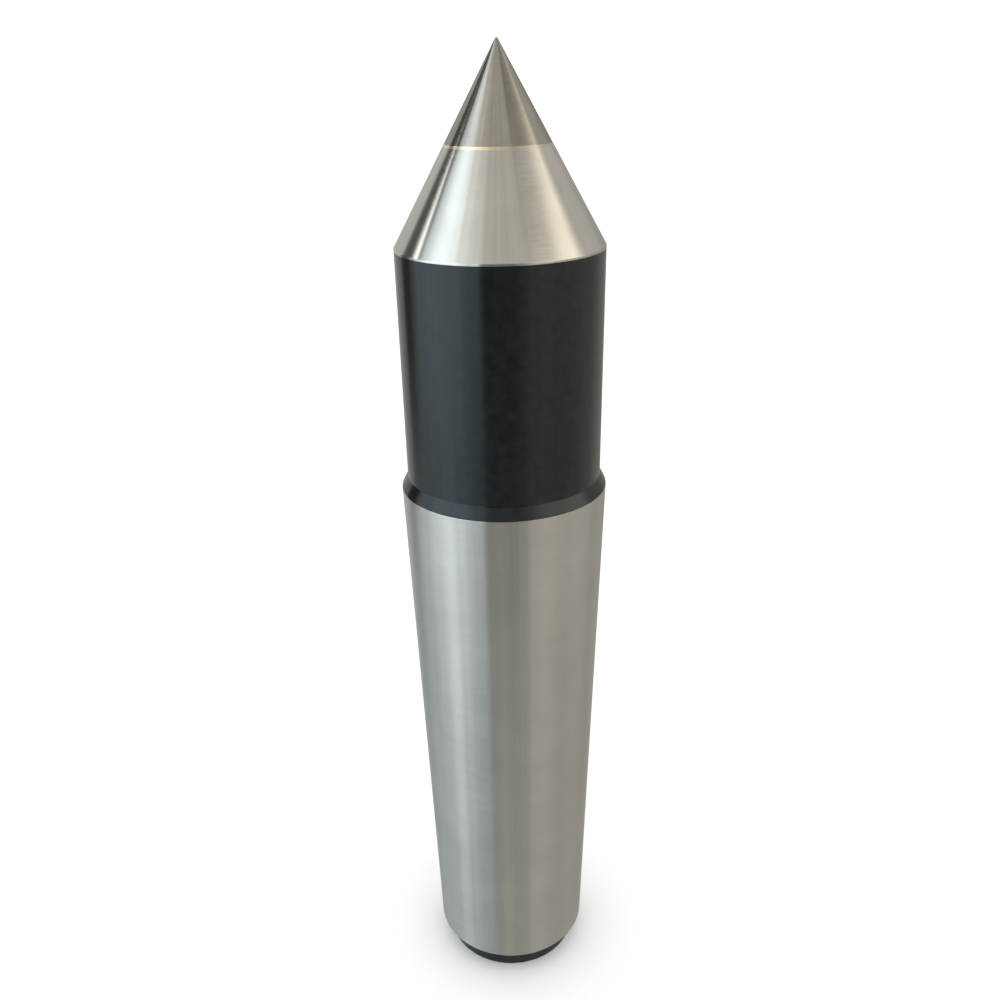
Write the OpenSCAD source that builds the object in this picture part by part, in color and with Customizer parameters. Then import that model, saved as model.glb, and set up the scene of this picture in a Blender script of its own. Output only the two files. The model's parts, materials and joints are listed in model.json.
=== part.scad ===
// Carbide-tipped dead center with a Morse taper shank.
// It stands on its tail face: z = 0 is that face, and +Z runs along the axis to the point.
// Everything is turned about the Z axis. All sizes are in millimetres.

/* [Point] */
// Included angle of the point
point_angle = 60; // [60, 75, 90]
// Radius left on the very tip
tip_r = 0.35; // [0.2:0.05:0.8]
// Diameter of the neck, which is also the base of the cone
neck_d = 42; // [38:0.5:44]
// Length from the tail face to the tip
overall_l = 219; // [205:1:240]

/* [Carbide insert] */
// Diameter of the insert
insert_d = 20.6; // [16:0.2:26]
// Length of the insert's shank, below its cone
insert_shank_l = 25; // [15:1:30]
// Bevel round the insert's bottom edge
insert_bevel = 0.5; // [0.2:0.1:1.5]
// Thickness of the braze film round the insert and under it
braze_gap = 0.3; // [0.1:0.05:0.5]

/* [Morse shank] */
// Diameter of the taper at its gauge plane, 44.399 for Morse No. 5
gauge_d = 44.399; // [43.9:0.001:45]
// Length of taper in which the diameter shrinks by 1, 19.002 for Morse No. 5
taper_ratio = 19.002; // [18.5:0.001:20.5]
// Depth of the gauge plane below the large end
gauge_drop = 6.5; // [5:0.5:8]
// Length of the ground taper, from its large end to its small end
taper_l = 127; // [115:0.5:130]
// Height of the bevel between the neck and the large end
collar_h = 2.6; // [1.5:0.1:4]

/* [Tail] */
// Diameter of the short spigot at the tail
tail_d = 33; // [28:0.5:36]
// Height of that spigot
tail_l = 6; // [4:0.5:8]
// Bevel round the tail face
tail_bevel = 0.4; // [0.2:0.1:1]

/* [Center hole in the tail] */
// Diameter of the pilot drill
pilot_d = 4; // [3:0.5:5]
// Full depth of the pilot drill's straight wall
pilot_l = 11; // [8:0.5:14]
// Mouth diameter of the seat that a grinding center runs in
seat_d = 8.5; // [7:0.5:10]
// Mouth diameter of the bevel that guards the seat
guard_d = 12.5; // [11:0.5:16]

/* [Hidden] */

$fn = 180;
seat_angle = 60;
guard_angle = 120;
drill_angle = 118;
nose_steps = 3; // cones that round off the tip
land_l = 0.4; // bright edge that grinding the cone leaves on the neck
overrun = 1; // how far a cutter runs past the face that it cuts

large_d = gauge_d + gauge_drop / taper_ratio;
small_d = large_d - taper_l / taper_ratio;
collar_z = tail_l + taper_l;
half_angle = point_angle / 2;
nose_z = overall_l - tip_r; // middle of the tip's radius
apex_z = nose_z + tip_r / sin(half_angle); // where the cone would come to a sharp point
cone_z = apex_z - neck_d / 2 / tan(half_angle);
land_z = round(10 * (cone_z - land_l)) / 10; // a round height, so that the slices meet exactly

bore_d = insert_d + 2 * braze_gap;
insert_z = apex_z - insert_d / 2 / tan(half_angle) - insert_shank_l;
bore_z = insert_z - braze_gap;

ground_steel = "#c4c6c3";
black_oxide = "#2d3134";
carbide_grey = "#93928c";
braze_gold = "#cdb27a";

// Half outline of the whole center, from the tail face up to the tip
outline = [
    [0, 0],
    [tail_d / 2 - tail_bevel, 0],
    [tail_d / 2, tail_bevel],
    [tail_d / 2, tail_l],
    [small_d / 2, tail_l],
    [large_d / 2, collar_z],
    [neck_d / 2, collar_z + collar_h],
    [neck_d / 2, cone_z],
    for (i = [0:nose_steps - 1])
        let (a = half_angle + (90 - half_angle) * i / nose_steps)
        [tip_r * cos(a), nose_z + tip_r * sin(a)],
    [0, overall_l],
];

module turned_form() {
    rotate_extrude() polygon(outline);
}

// Cone with its mouth, of diameter d, on the tail face, and its point inside the body
module countersink(d, angle) {
    cylinder(d1 = d, d2 = 0, h = d / 2 / tan(angle / 2));
}

// Pilot hole, grinding seat and guard bevel. The guard starts where it meets the seat.
module center_hole() {
    guard_l = (guard_d - seat_d) / 2 / tan(guard_angle / 2);
    countersink(guard_d, guard_angle);
    translate([0, 0, guard_l]) countersink(seat_d, seat_angle);
    translate([0, 0, -overrun]) cylinder(d = pilot_d, h = pilot_l + overrun);
    translate([0, 0, pilot_l]) countersink(pilot_d, drill_angle);
}

// Flat-bottomed blind hole for the insert, open at the point
module insert_bore() {
    translate([0, 0, bore_z]) cylinder(d = bore_d, h = overall_l);
}

// The insert before its cone is ground
module insert_blank() {
    translate([0, 0, insert_z]) {
        cylinder(d1 = insert_d - 2 * insert_bevel, d2 = insert_d, h = insert_bevel);
        translate([0, 0, insert_bevel]) cylinder(d = insert_d, h = overall_l);
    }
}

// The part of the steel body between two heights
module body_slice(z_low, z_high) {
    intersection() {
        difference() {
            turned_form();
            insert_bore();
            center_hole();
        }
        translate([0, 0, z_low]) cylinder(d = 2 * large_d, h = z_high - z_low);
    }
}

// One piece of hardened steel: bright where it is ground, black where it is not
module center_body() {
    color(black_oxide) body_slice(0, tail_l);
    color(ground_steel) body_slice(tail_l, collar_z);
    color(black_oxide) body_slice(collar_z, land_z);
    color(ground_steel) body_slice(land_z, overall_l);
}

// Tungsten carbide insert, whose cone carries on the body's cone
module carbide_tip() {
    color(carbide_grey)
    intersection() {
        turned_form();
        insert_blank();
    }
}

// Film of braze that fills the gap between the insert and its bore
module braze_joint() {
    color(braze_gold)
    difference() {
        intersection() {
            turned_form();
            insert_bore();
        }
        insert_blank();
    }
}

center_body();
carbide_tip();
braze_joint();
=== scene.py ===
import json
import math
import bpy
from mathutils import Matrix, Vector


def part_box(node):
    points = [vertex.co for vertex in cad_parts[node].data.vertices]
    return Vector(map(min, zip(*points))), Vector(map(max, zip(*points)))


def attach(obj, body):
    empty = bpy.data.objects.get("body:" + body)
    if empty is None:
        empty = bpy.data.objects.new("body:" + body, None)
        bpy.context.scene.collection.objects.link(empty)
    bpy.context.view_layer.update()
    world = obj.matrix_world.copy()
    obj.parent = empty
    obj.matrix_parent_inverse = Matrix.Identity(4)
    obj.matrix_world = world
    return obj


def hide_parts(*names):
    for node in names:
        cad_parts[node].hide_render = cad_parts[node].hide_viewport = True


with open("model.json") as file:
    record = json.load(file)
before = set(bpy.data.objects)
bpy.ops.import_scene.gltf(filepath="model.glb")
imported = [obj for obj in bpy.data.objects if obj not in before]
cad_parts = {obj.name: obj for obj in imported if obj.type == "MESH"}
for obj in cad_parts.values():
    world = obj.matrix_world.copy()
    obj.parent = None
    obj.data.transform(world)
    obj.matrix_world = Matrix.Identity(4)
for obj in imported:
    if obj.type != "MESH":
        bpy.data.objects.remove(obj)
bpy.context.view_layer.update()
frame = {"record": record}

mm = 0.001


def linearColor(hexColor, gain=1.0):
    channels = [int(hexColor[i:i + 2], 16) / 255 for i in (0, 2, 4)]
    linear = [c / 12.92 if c <= 0.04045 else ((c + 0.055) / 1.055) ** 2.4 for c in channels]
    return [c * gain for c in linear] + [1.0]


def addNode(tree, kind, settings=None, inputs=None):
    # settings are the node's own options; an input takes either a value or another node's output
    node = tree.nodes.new(kind)
    for name, value in (settings or {}).items():
        setattr(node, name, value)
    for name, value in (inputs or {}).items():
        if isinstance(value, bpy.types.NodeSocket):
            tree.links.new(value, node.inputs[name])
        else:
            node.inputs[name].default_value = value
    return node


cameraSetup = {
    "distance": 0.2019,  # in front of the axis
    "height": 0.2151,  # just below the tip
    "pitchDown": 27.49,
    "turn": 0.37,
    "roll": -1.17,
    "lens": 35.35,
    "shiftY": 0.0724,
}


def makeCamera(setup):
    data = bpy.data.cameras.new("camera")
    data.lens = setup["lens"]
    data.shift_y = setup["shiftY"]
    data.clip_start = 0.01
    camera = bpy.data.objects.new("camera", data)
    bpy.context.scene.collection.objects.link(camera)
    turn = Matrix.Rotation(math.radians(setup["turn"]), 4, "Z")
    pitch = Matrix.Rotation(math.radians(90 - setup["pitchDown"]), 4, "X")
    roll = Matrix.Rotation(math.radians(setup["roll"]), 4, "Z")
    place = Matrix.Translation((0, -setup["distance"], setup["height"]))
    camera.matrix_world = place @ turn @ pitch @ roll
    bpy.context.scene.camera = camera


makeCamera(cameraSetup)
print("camera placed")

# What the polished metal mirrors. The room is even, apart from these panels of light and shade.
# Angles are degrees: azimuth 0 is towards the camera and minus is left, elevation 0 is level.
studio = {
    "roomStrength": 1.3,
    "mirrorStrength": 3.2,
    "cool": "f0faff",
    "plain": "ffffff",
    "soft": "fffbf0",
    "warm": "fff4e2",
    # the room behind the panels: elevation and level
    "base": [(-90, 0.50), (-45, 0.53), (-28, 0.50), (-16, 0.56), (0, 0.58), (45, 0.70), (90, 0.62)],
    "panels": [
        # name, azimuth, elevation, widths of the soft sides, of the soft lower and upper edges,
        # level and tint; a later panel covers the ones before it
        ("farLeft", (-190, -157), (-8, 90), (1, 12), (12, 1), 0.52, "plain"),
        ("farRight", (143, 190), (6, 90), (20, 1), (8, 1), 0.47, "soft"),
        ("leftWall", (-157, -129), (10, 44), (12, 2), (12, 12), 0.68, "plain"),
        ("highRight", (44, 94), (43, 90), (30, 6), (4, 1), 0.44, "soft"),
        ("sideShade", (108, 175), (-26, 6), (8, 12), (8, 10), 0.38, "soft"),
        ("lowFar", (-190, -100), (-90, -20), (1, 24), (1, 10), 0.61, "cool"),
        ("lowRight", (57, 146), (-90, -8), (2, 12), (1, 8), 0.46, "soft"),
        ("lowGap", (20, 58), (-90, -20), (4, 2), (1, 10), 0.53, "soft"),
        ("lowMiddle", (-21, 20), (-90, -20), (3, 4), (1, 8), 0.52, "soft"),
        ("lowLeft", (-100, -21), (-90, 10), (36, 3), (1, 20), 0.44, "cool"),
        ("glow", (-88, -38), (-31, 10), (34, 26), (16, 10), 1.05, "cool"),
        ("shine", (-77, -61), (-40, -16), (5, 3), (6, 8), 1.20, "cool"),
        ("window", (-104, -21), (-18, 48), (4, 8), (14, 4), 1.25, "cool"),
        ("pane", (-89, -41), (-14, 48), (14, 18), (20, 4), 2.0, "cool"),
        ("sideLight", (-58, -24), (38, 49), (2, 10), (6, 4), 1.25, "soft"),
        ("mullion", (-68, -60), (50, 62), (3, 3), (4, 6), 0.62, "soft"),
        ("rail", (-59, -50), (48, 58), (3, 4), (4, 6), 0.95, "soft"),
        ("lamp", (38, 102), (4, 38.4), (38, 13), (8, 8), 1.75, "warm"),
        ("cameraSide", (-21, 24), (-29, 28), (7, 30), (16, 26), 0.20, "plain"),
        ("curtain", (-131, -102), (24, 56), (2, 3), (4, 5), 0.14, "plain"),
        ("curtainTop", (-126, -102), (56, 63), (3, 3), (5, 12), 0.14, "plain"),
        ("curtainLow", (-131, -113), (-20, 34), (2, 2), (10, 4), 0.10, "plain"),
        ("gap", (-111, -106), (14, 29), (1, 2), (6, 3), 3.5, "plain"),
        ("streak", (40, 56), (53, 90), (6, 10), (4, 1), 0.28, "plain"),
    ],
    "folds": 0.17,  # how much the cloth behind the lights varies
    "foldWidth": 3.0,
    "foldLength": 100.0,
}


def softBand(tree, angle, limits, softness):
    # 1 between the two limits and 0 outside them, with a soft edge at each
    low, high = limits
    softLow, softHigh = softness
    rise = addNode(tree, "ShaderNodeMapRange", {"interpolation_type": "SMOOTHSTEP"}, {
        "Value": angle, "From Min": low - softLow / 2, "From Max": low + softLow / 2})
    fall = addNode(tree, "ShaderNodeMapRange", {"interpolation_type": "SMOOTHSTEP"}, {
        "Value": angle, "From Min": high - softHigh / 2, "From Max": high + softHigh / 2,
        "To Min": 1.0, "To Max": 0.0})
    return addNode(tree, "ShaderNodeMath", {"operation": "MULTIPLY"}, {
        0: rise.outputs["Result"], 1: fall.outputs["Result"]}).outputs[0]


def makeStudioLight(setup):
    world = bpy.data.worlds.new("studio")
    world.use_nodes = True
    tree = world.node_tree
    tree.nodes.clear()
    direction = addNode(tree, "ShaderNodeTexCoord")
    axes = addNode(tree, "ShaderNodeSeparateXYZ", {}, {0: direction.outputs["Generated"]})
    towards = addNode(tree, "ShaderNodeMath", {"operation": "MULTIPLY"}, {0: axes.outputs["Y"], 1: -1.0})
    turn = addNode(tree, "ShaderNodeMath", {"operation": "ARCTAN2"},
                   {0: axes.outputs["X"], 1: towards.outputs[0]})
    azimuth = addNode(tree, "ShaderNodeMath", {"operation": "DEGREES"}, {0: turn.outputs[0]})
    rise = addNode(tree, "ShaderNodeMath", {"operation": "ARCSINE"}, {0: axes.outputs["Z"]})
    elevation = addNode(tree, "ShaderNodeMath", {"operation": "DEGREES"}, {0: rise.outputs[0]})
    height = addNode(tree, "ShaderNodeMapRange", {}, {
        "Value": elevation.outputs[0], "From Min": -90, "From Max": 90})
    ramp = addNode(tree, "ShaderNodeValToRGB", {}, {"Fac": height.outputs["Result"]})
    elements = ramp.color_ramp.elements
    elements.remove(elements[1])
    for i, (angle, level) in enumerate(setup["base"]):
        at = angle / 180 + 0.5
        element = elements[0] if i == 0 else elements.new(at)
        element.position = at
        element.color = linearColor(setup["soft"], level / setup["mirrorStrength"])
    mirrored = ramp.outputs["Color"]
    for name, across, up, sides, ends, level, tint in setup["panels"]:
        share = addNode(tree, "ShaderNodeMath", {"operation": "MULTIPLY", "label": name}, {
            0: softBand(tree, azimuth.outputs[0], across, sides),
            1: softBand(tree, elevation.outputs[0], up, ends)})
        mix = addNode(tree, "ShaderNodeMixRGB", {}, {
            "Fac": share.outputs[0], "Color1": mirrored,
            "Color2": linearColor(setup[tint], level / setup["mirrorStrength"])})
        mirrored = mix.outputs["Color"]
    angles = addNode(tree, "ShaderNodeCombineXYZ", {}, {
        "X": azimuth.outputs[0], "Y": elevation.outputs[0]})
    cloth = addNode(tree, "ShaderNodeMapping", {}, {
        "Vector": angles.outputs[0], "Scale": (1 / setup["foldWidth"], 1 / setup["foldLength"], 1)})
    folds = addNode(tree, "ShaderNodeTexNoise", {"noise_dimensions": "2D"}, {
        "Vector": cloth.outputs["Vector"], "Scale": 1.0, "Detail": 4.0})
    # the stretch that this noise mostly keeps to becomes the whole variation
    strength = addNode(tree, "ShaderNodeMapRange", {}, {
        "Value": folds.outputs["Fac"], "From Min": 0.25, "From Max": 0.75,
        "To Min": setup["mirrorStrength"] * (1 - setup["folds"]),
        "To Max": setup["mirrorStrength"] * (1 + setup["folds"])})
    mirror = addNode(tree, "ShaderNodeBackground", {}, {
        "Color": mirrored, "Strength": strength.outputs["Result"]})
    room = addNode(tree, "ShaderNodeBackground", {},
                   {"Color": linearColor("ffffff"), "Strength": setup["roomStrength"]})
    ray = addNode(tree, "ShaderNodeLightPath")
    seen = addNode(tree, "ShaderNodeMixShader", {}, {
        0: ray.outputs["Is Glossy Ray"], 1: room.outputs["Background"], 2: mirror.outputs["Background"]})
    addNode(tree, "ShaderNodeOutputWorld", {}, {"Surface": seen.outputs["Shader"]})
    world.cycles.sampling_method = "NONE"  # the room is smooth, so it needs no map of its own
    bpy.context.scene.world = world
    bpy.context.scene.view_settings.view_transform = "Standard"


floorLook = {"sides": 96, "radius": 3, "color": "f4f4f4", "roughness": 0.9}


def makeFloor(look):
    bpy.ops.object.select_all(action="DESELECT")
    bpy.ops.mesh.primitive_circle_add(vertices=look["sides"], radius=look["radius"], fill_type="NGON")
    floor = bpy.context.object
    floor.name = "floor"
    material = bpy.data.materials.new("pale paper floor")
    material.use_nodes = True
    paper = material.node_tree.nodes["Principled BSDF"]
    paper.inputs["Base Color"].default_value = linearColor(look["color"])
    paper.inputs["Roughness"].default_value = look["roughness"]
    paper.inputs["Specular IOR Level"].default_value = 0.0
    floor.data.materials.append(material)
    floor.visible_glossy = False  # so that it doesn't whiten the metal's lower half


makeStudioLight(studio)
makeFloor(floorLook)
print("floor and light made")


def ringNoise(tree, spacing, length, along):
    # long streaks that run round the axis, as a grinding wheel or a lathe tool leaves them
    place = addNode(tree, "ShaderNodeTexCoord")
    axes = addNode(tree, "ShaderNodeSeparateXYZ", {}, {0: place.outputs["Object"]})
    step = axes.outputs["Z"]
    if along == "radius":
        flat = addNode(tree, "ShaderNodeCombineXYZ", {}, {"X": axes.outputs["X"], "Y": axes.outputs["Y"]})
        step = addNode(tree, "ShaderNodeVectorMath", {"operation": "LENGTH"},
                       {0: flat.outputs[0]}).outputs["Value"]
    point = addNode(tree, "ShaderNodeCombineXYZ", {}, {
        "X": axes.outputs["X"], "Y": axes.outputs["Y"], "Z": step})
    scaled = addNode(tree, "ShaderNodeMapping", {}, {
        "Vector": point.outputs[0], "Scale": (1 / length, 1 / length, 1 / spacing)})
    return addNode(tree, "ShaderNodeTexNoise", {}, {
        "Vector": scaled.outputs["Vector"], "Scale": 1.0, "Detail": 3.0, "Roughness": 0.6}).outputs["Fac"]


def patchNoise(tree, size, seed, lean):
    # soft patches; lean makes them grow from one side of the piece to the other
    place = addNode(tree, "ShaderNodeTexCoord")
    shifted = addNode(tree, "ShaderNodeMapping", {}, {
        "Vector": place.outputs["Object"], "Location": (seed, seed, seed)})
    noise = addNode(tree, "ShaderNodeTexNoise", {}, {
        "Vector": shifted.outputs["Vector"], "Scale": 1 / size, "Detail": 3.0})
    axes = addNode(tree, "ShaderNodeSeparateXYZ", {}, {0: place.outputs["Object"]})
    return addNode(tree, "ShaderNodeMath", {"operation": "MULTIPLY_ADD"}, {
        0: axes.outputs["X"], 1: lean, 2: noise.outputs["Fac"]}).outputs[0]


def spread(tree, value, low, high):
    # a noise stays mostly between 0.3 and 0.7, so that stretch is what is spread
    return addNode(tree, "ShaderNodeMapRange", {}, {
        "Value": value, "From Min": 0.3, "From Max": 0.7,
        "To Min": low, "To Max": high}).outputs["Result"]


def turnedFinish(name, look, along="axis"):
    # a surface with fine lines round the axis, which smear what it mirrors along the axis
    material = bpy.data.materials.new(name)
    material.use_nodes = True
    tree = material.node_tree
    tree.nodes.clear()
    rings = ringNoise(tree, look["lineSpacing"], look["lineLength"], along)
    patches = patchNoise(tree, look["patchSize"], look["seed"], look.get("lean", 0.0))
    color = addNode(tree, "ShaderNodeMixRGB", {}, {
        "Fac": spread(tree, patches, 0.0, 1.0),
        "Color1": linearColor(look["dark"]), "Color2": linearColor(look["light"])})
    grain = addNode(tree, "ShaderNodeMixRGB", {"blend_type": "MULTIPLY"}, {
        "Fac": 1.0, "Color1": color.outputs["Color"],
        "Color2": spread(tree, rings, 1 - look["grain"], 1.0)})
    bump = addNode(tree, "ShaderNodeBump", {}, {
        "Height": rings, "Strength": look["bump"], "Distance": look["lineDepth"]})
    around = addNode(tree, "ShaderNodeTangent", {"direction_type": "RADIAL", "axis": "Z"})
    smooth, rough = look["roughness"]
    shader = addNode(tree, "ShaderNodeBsdfPrincipled", {}, {
        "Base Color": grain.outputs["Color"], "Metallic": look["metallic"],
        "Roughness": spread(tree, rings, smooth, rough),
        "Anisotropic": look["anisotropy"], "Anisotropic Rotation": 0.25,
        "Tangent": around.outputs["Tangent"], "Normal": bump.outputs["Normal"]})
    for socket, value in look.get("sockets", {}).items():
        shader.inputs[socket].default_value = value
    addNode(tree, "ShaderNodeOutputMaterial", {}, {"Surface": shader.outputs["BSDF"]})
    return material


# Real grinding lines are 0.02 to 0.1 mm apart, too fine to see, so all are drawn coarser.

# Hardened tool steel, cylindrically ground: bright, with streaks of light along the cone
groundCone = turnedFinish("ground tool steel, cone", {
    "dark": "c3c2bc", "light": "cbcac5", "metallic": 1.0, "roughness": (0.15, 0.19),
    "anisotropy": 1.0, "lineSpacing": 0.3 * mm, "lineLength": 5 * mm, "lineDepth": 0.01 * mm,
    "bump": 0.03, "grain": 0.03, "patchSize": 7 * mm, "seed": 0.0})

# The same steel, ground to a satin that spreads the light more
groundTaper = turnedFinish("ground tool steel, taper", {
    "dark": "c1c0bb", "light": "cac9c4", "metallic": 1.0, "roughness": (0.23, 0.27),
    "anisotropy": 1.0, "lineSpacing": 0.25 * mm, "lineLength": 8 * mm, "lineDepth": 0.01 * mm,
    "bump": 0.01, "grain": 0.03, "patchSize": 14 * mm, "seed": 0.3})

# Tungsten carbide in cobalt, diamond ground: finer lines, a darker and warmer grey
groundCarbide = turnedFinish("diamond ground carbide", {
    "dark": "a8a59d", "light": "b1aea6", "metallic": 1.0, "roughness": (0.13, 0.16),
    "anisotropy": 0.85, "lineSpacing": 0.2 * mm, "lineLength": 4 * mm, "lineDepth": 0.005 * mm,
    "bump": 0.04, "grain": 0.05, "patchSize": 4 * mm, "seed": 0.6,
    "sockets": {"Specular Tint": linearColor("e0e0e0")}})

# Silver brass braze, ground flush with the cone: pale gold, whiter where more silver shows
braze = turnedFinish("ground silver brass braze", {
    "dark": "f4ebc6", "light": "c9c4b8", "metallic": 1.0, "roughness": (0.20, 0.26),
    "anisotropy": 0.9, "lineSpacing": 0.1 * mm, "lineLength": 2 * mm, "lineDepth": 0.005 * mm,
    "bump": 0.05, "grain": 0.05, "patchSize": 12 * mm, "seed": 0.2, "lean": 0.05 / mm})

# Black oxide on turned steel: magnetite under a film of oil, so it shines like a dark glaze
oxideLook = {
    "dark": "04060a", "light": "131514", "metallic": 0.0, "roughness": (0.19, 0.24),
    "anisotropy": 0.8, "lineSpacing": 0.25 * mm, "lineLength": 3 * mm, "lineDepth": 0.01 * mm,
    "bump": 0.06, "grain": 0.25, "patchSize": 2 * mm, "seed": 0.9,
    "sockets": {"IOR": 1.52, "Specular Tint": linearColor("e9f9ff")}}
oiledBlack = turnedFinish("oiled black oxide", oxideLook)
facedBlack = turnedFinish("oiled black oxide, faced", oxideLook, along="radius")
print("materials made")


def turnPiece(name, outline, segments=256):
    # a ring is drawn out along the outline, step by step, and closed to a point at both ends;
    # each outline step is a radius and a height, and the first and the last lie on the axis
    bpy.ops.object.select_all(action="DESELECT")
    start = outline[0]
    radius, height = outline[1]
    bpy.ops.mesh.primitive_circle_add(vertices=segments, radius=radius, location=(0, 0, height))
    piece = bpy.context.object
    piece.name = name
    piece.data.name = name
    bpy.ops.object.transform_apply(location=True)
    bpy.ops.object.mode_set(mode="EDIT")
    bpy.ops.mesh.select_all(action="SELECT")
    bpy.ops.mesh.extrude_region_move(TRANSFORM_OT_translate={"value": (0, 0, start[1] - height)})
    bpy.ops.mesh.merge(type="CENTER")
    selectRing(piece, radius, height)
    for nextRadius, nextHeight in outline[2:-1]:
        bpy.ops.mesh.extrude_region_move(TRANSFORM_OT_translate={"value": (0, 0, nextHeight - height)})
        scale = nextRadius / radius
        bpy.ops.transform.resize(value=(scale, scale, 1), center_override=(0, 0, nextHeight))
        radius, height = nextRadius, nextHeight
    bpy.ops.mesh.extrude_region_move(TRANSFORM_OT_translate={"value": (0, 0, outline[-1][1] - height)})
    bpy.ops.mesh.merge(type="CENTER")
    bpy.ops.mesh.select_all(action="SELECT")
    bpy.ops.mesh.normals_make_consistent(inside=False)
    bpy.ops.object.mode_set(mode="OBJECT")
    return piece


def selectRing(piece, radius, height, slack=0.01 * mm):
    # leaves edit mode to set the marks, because that is where they are kept
    bpy.ops.mesh.select_all(action="DESELECT")
    bpy.ops.object.mode_set(mode="OBJECT")
    for vertex in piece.data.vertices:
        x, y, z = vertex.co
        vertex.select = abs(math.hypot(x, y) - radius) < slack and abs(z - height) < slack
    bpy.ops.object.mode_set(mode="EDIT")
    bpy.ops.mesh.select_mode(type="VERT")
    bpy.ops.mesh.select_mode(type="EDGE")


def roundEdge(piece, radius, height, width, segments=4):
    bpy.ops.object.mode_set(mode="EDIT")
    bpy.ops.mesh.select_mode(type="VERT")
    selectRing(piece, radius, height)
    bpy.ops.mesh.bevel(offset=width, segments=segments, affect="EDGES", clamp_overlap=False)
    bpy.ops.object.mode_set(mode="OBJECT")


def evenNormals(piece, sharpFrom=26, weight=100):
    # long faces keep their own direction next to the small rounds; edges above sharpFrom stay sharp
    bpy.ops.object.select_all(action="DESELECT")
    piece.select_set(True)
    bpy.context.view_layer.objects.active = piece
    bpy.ops.object.shade_smooth_by_angle(angle=math.radians(sharpFrom))
    modifier = piece.modifiers.new("even normals", "WEIGHTED_NORMAL")
    modifier.weight = weight
    modifier.keep_sharp = True
    bpy.ops.object.modifier_apply(modifier=modifier.name)


def paint(piece, materials, choose):
    for material in materials:
        piece.data.materials.append(material)
    for polygon in piece.data.polygons:
        polygon.material_index = choose(polygon)


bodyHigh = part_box("center_body")[1]
tipLow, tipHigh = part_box("carbide_tip")
brazeLow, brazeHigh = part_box("braze_joint")
gaugePlane = next(m for m in frame["record"]["mounts"] if m["name"] == "morse_shank")["pos_m"][2]
halfPoint = 30  # half of the 60 degree point
slope = math.tan(math.radians(halfPoint))  # radius gained per length of the point
apex = bodyHigh[2] + brazeHigh[0] / slope

# Radii and heights of the steel body; its outer limits come from the frame
body = {
    "large": bodyHigh[0], "largeAt": gaugePlane + 6.5 * mm,  # standard distance on Morse No. 5
    "taperRatio": 19.002,  # length in which the diameter shrinks by 1
    "neck": 21 * mm, "collar": 2.6 * mm,
    "land": 0.4 * mm,  # bright edge that grinding the cone leaves on the neck
    "tail": 16.5 * mm, "tailHeight": 6 * mm, "tailBevel": 0.4 * mm,
    "pilot": 2 * mm, "pilotDepth": 11 * mm, "drillAngle": 118,
    "seat": 4.25 * mm, "guard": 6.25 * mm, "guardAngle": 120,
    "edgeRound": 0.15 * mm, "coneEdgeRound": 0.05 * mm,
    "blackRim": 0.02 * mm,  # how far the black of the tail reaches round the taper's lower edge
    "flatFrom": 0.7,  # a face that looks up or down at least this much was faced, not turned
}
body["small"] = body["large"] - (body["largeAt"] - body["tailHeight"]) / body["taperRatio"] / 2
body["coneAt"] = apex - body["neck"] / slope


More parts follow.
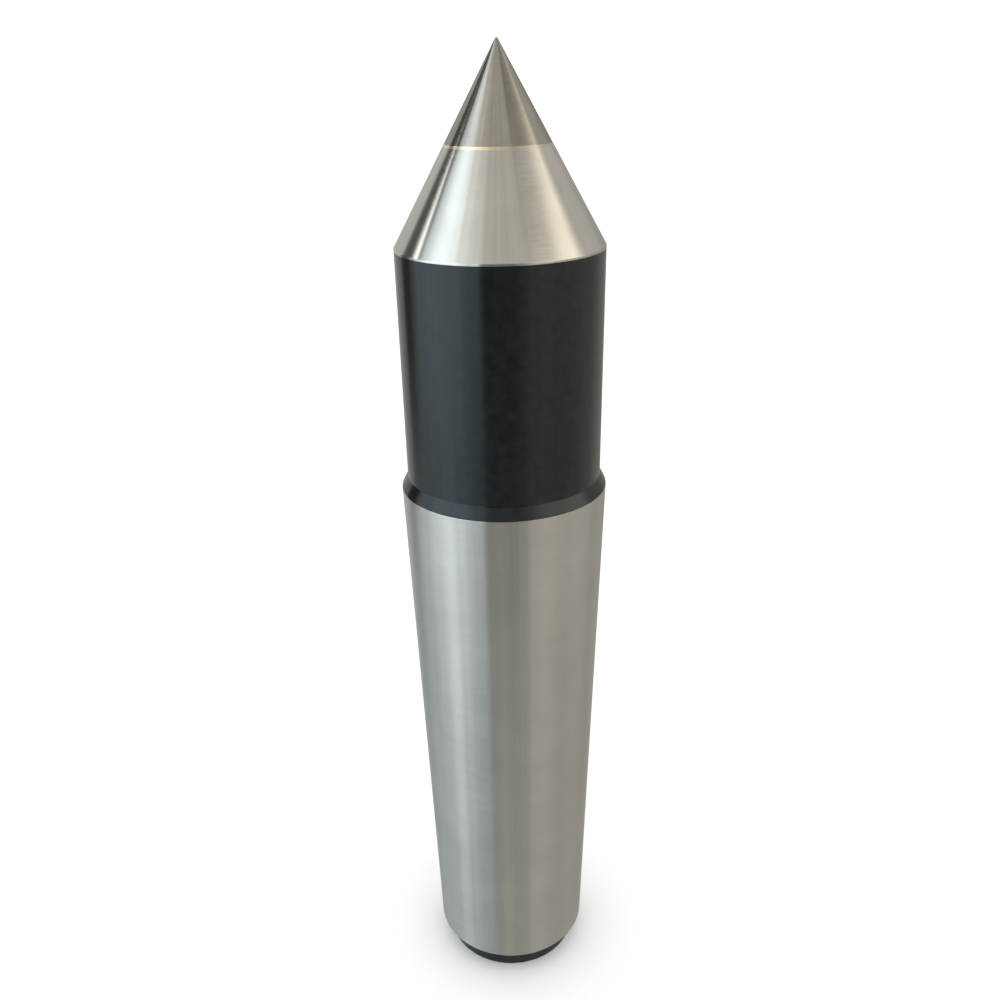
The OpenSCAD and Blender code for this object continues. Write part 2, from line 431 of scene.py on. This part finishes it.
def makeCenterBody(b):
    guardTop = (b["guard"] - b["seat"]) / math.tan(math.radians(b["guardAngle"] / 2))
    seatTop = guardTop + (b["seat"] - b["pilot"]) / slope
    drillTip = b["pilotDepth"] + b["pilot"] / math.tan(math.radians(b["drillAngle"] / 2))
    bore, boreFloor = brazeHigh[0], brazeLow[2]
    outline = [
        (0, drillTip), (b["pilot"], b["pilotDepth"]), (b["pilot"], seatTop), (b["seat"], guardTop),
        (b["guard"], 0), (b["tail"] - b["tailBevel"], 0), (b["tail"], b["tailBevel"]),
        (b["tail"], b["tailHeight"]), (b["small"], b["tailHeight"]), (b["large"], b["largeAt"]),
        (b["neck"], b["largeAt"] + b["collar"]), (b["neck"], b["coneAt"] - b["land"]),
        (b["neck"], b["coneAt"]), (bore, bodyHigh[2]), (bore, boreFloor), (0, boreFloor)]
    piece = turnPiece("centerBody", outline)
    for radius, height in [(b["guard"], 0), (b["tail"], b["tailHeight"]), (b["small"], b["tailHeight"]),
                           (b["large"], b["largeAt"]), (b["neck"], b["largeAt"] + b["collar"])]:
        roundEdge(piece, radius, height, b["edgeRound"])
    roundEdge(piece, b["neck"], b["coneAt"], b["coneEdgeRound"])
    evenNormals(piece)

    finishes = [groundCone, oiledBlack, groundTaper, facedBlack]

    def chooseFinish(face):
        z = face.center.z
        radius = math.hypot(face.center.x, face.center.y)
        inBore = radius < bore and z > drillTip
        if z > b["coneAt"] - b["land"] or inBore:
            return finishes.index(groundCone)
        if z > b["largeAt"]:
            return finishes.index(oiledBlack)
        if z > b["tailHeight"] + b["blackRim"] and radius > b["tail"]:
            return finishes.index(groundTaper)
        faced = abs(face.normal.z) > b["flatFrom"]
        return finishes.index(facedBlack if faced else oiledBlack)

    paint(piece, finishes, chooseFinish)
    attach(piece, "root")
    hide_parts("center_body")


makeCenterBody(body)
print("center body turned")

# Radius of the nose, the cones that round it off, and the bevel round the insert's bottom edge
tip = {"nose": 0.35 * mm, "noseSteps": 5, "bevel": 0.5 * mm}


def makeCarbideTip(t):
    radius = tipHigh[0]
    noseMiddle = tipHigh[2] - t["nose"]
    nose = []
    for i in range(t["noseSteps"]):
        angle = math.radians(halfPoint + (90 - halfPoint) * i / t["noseSteps"])
        nose.append((t["nose"] * math.cos(angle), noseMiddle + t["nose"] * math.sin(angle)))
    outline = [(0, tipLow[2]), (radius - t["bevel"], tipLow[2]), (radius, tipLow[2] + t["bevel"]),
               (radius, apex - radius / slope), *nose, (0, tipHigh[2])]
    piece = turnPiece("carbideTip", outline)
    evenNormals(piece)
    paint(piece, [groundCarbide], lambda face: 0)
    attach(piece, "root")
    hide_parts("carbide_tip")


makeCarbideTip(tip)
print("carbide tip turned")


def makeBrazeJoint():
    # a cup round the insert, so its inside follows the insert's own bevel
    inner, outer = tipHigh[0], brazeHigh[0]
    bevel = tip["bevel"]
    outline = [(0, brazeLow[2]), (outer, brazeLow[2]), (outer, bodyHigh[2]), (inner, brazeHigh[2]),
               (inner, tipLow[2] + bevel), (inner - bevel, tipLow[2]), (0, tipLow[2])]
    piece = turnPiece("brazeJoint", outline)
    evenNormals(piece)
    paint(piece, [braze], lambda face: 0)
    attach(piece, "root")
    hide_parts("braze_joint")


makeBrazeJoint()
print("braze joint made")
